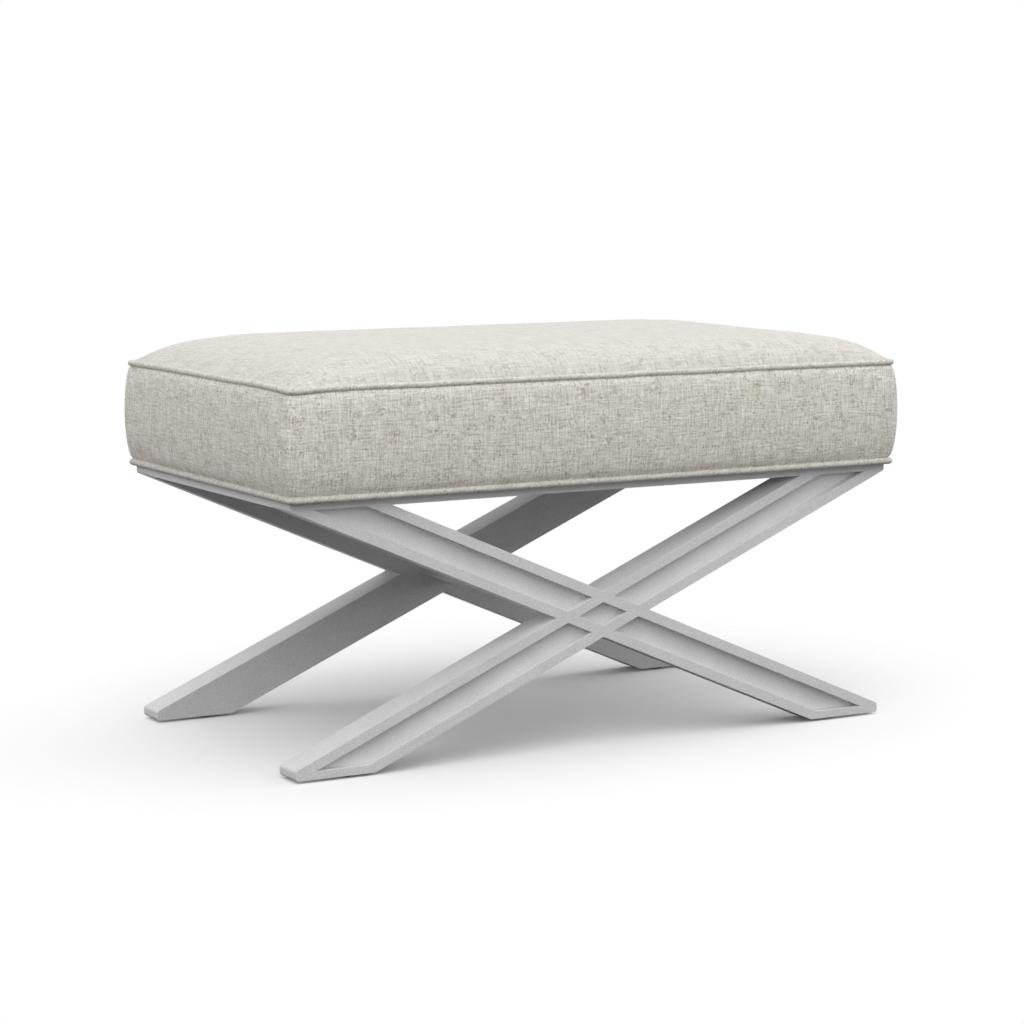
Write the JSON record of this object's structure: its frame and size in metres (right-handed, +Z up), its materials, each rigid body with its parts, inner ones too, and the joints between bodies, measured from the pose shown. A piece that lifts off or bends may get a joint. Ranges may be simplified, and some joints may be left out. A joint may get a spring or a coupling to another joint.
{
  "type": "upholstered ottoman",
  "caption": "Low upholstered ottoman: a crowned box cushion with piped seams on a silver-painted wooden base of two crossed-leg frames joined by a stretcher.",
  "frame": {"origin": "on the floor, under the middle of the frame", "axes": "+X along the long side to the right as seen from the front, +Y to the rear, +Z up"},
  "size_m": [0.855, 0.484, 0.4876],
  "materials": {
    "silver_paint": "hardwood with a satin silver paint of fine metallic grain",
    "dowel_wood": "bare beech",
    "black_plastic": "matt black nylon",
    "plain_steel": "bright wire",
    "zinc_steel": "zinc plated",
    "dust_cloth": "black non-woven cloth",
    "linen_fabric": "slubbed linen-look weave in off-white with tan and grey flecks",
    "plywood": "bare plywood",
    "foam": "open-cell upholstery foam",
    "wadding": "soft white polyester wadding"
  },
  "bodies": {
    "root": {"front_leg_rising": "silver_paint", "front_leg_falling": "silver_paint", "rear_leg_rising": "silver_paint", "rear_leg_falling": "silver_paint", "front_rail": "silver_paint", "rear_rail": "silver_paint", "left_rail": "silver_paint", "right_rail": "silver_paint", "stretcher": "silver_paint", "stretcher_dowels": "dowel_wood", "rail_dowels": "dowel_wood", "front_left_glide": "black_plastic", "front_right_glide": "black_plastic", "rear_left_glide": "black_plastic", "rear_right_glide": "black_plastic", "glide_nails": "plain_steel", "seat_screws": "zinc_steel", "dust_cover": "dust_cloth", "cover_hem": "linen_fabric", "staples": "plain_steel", "seat_board": "plywood", "foam_core": "foam", "batting": "wadding", "boxing_band": "linen_fabric", "top_panel": "linen_fabric", "bottom_welt": "linen_fabric", "top_welt": "linen_fabric"}
  },
  "joints": []
}
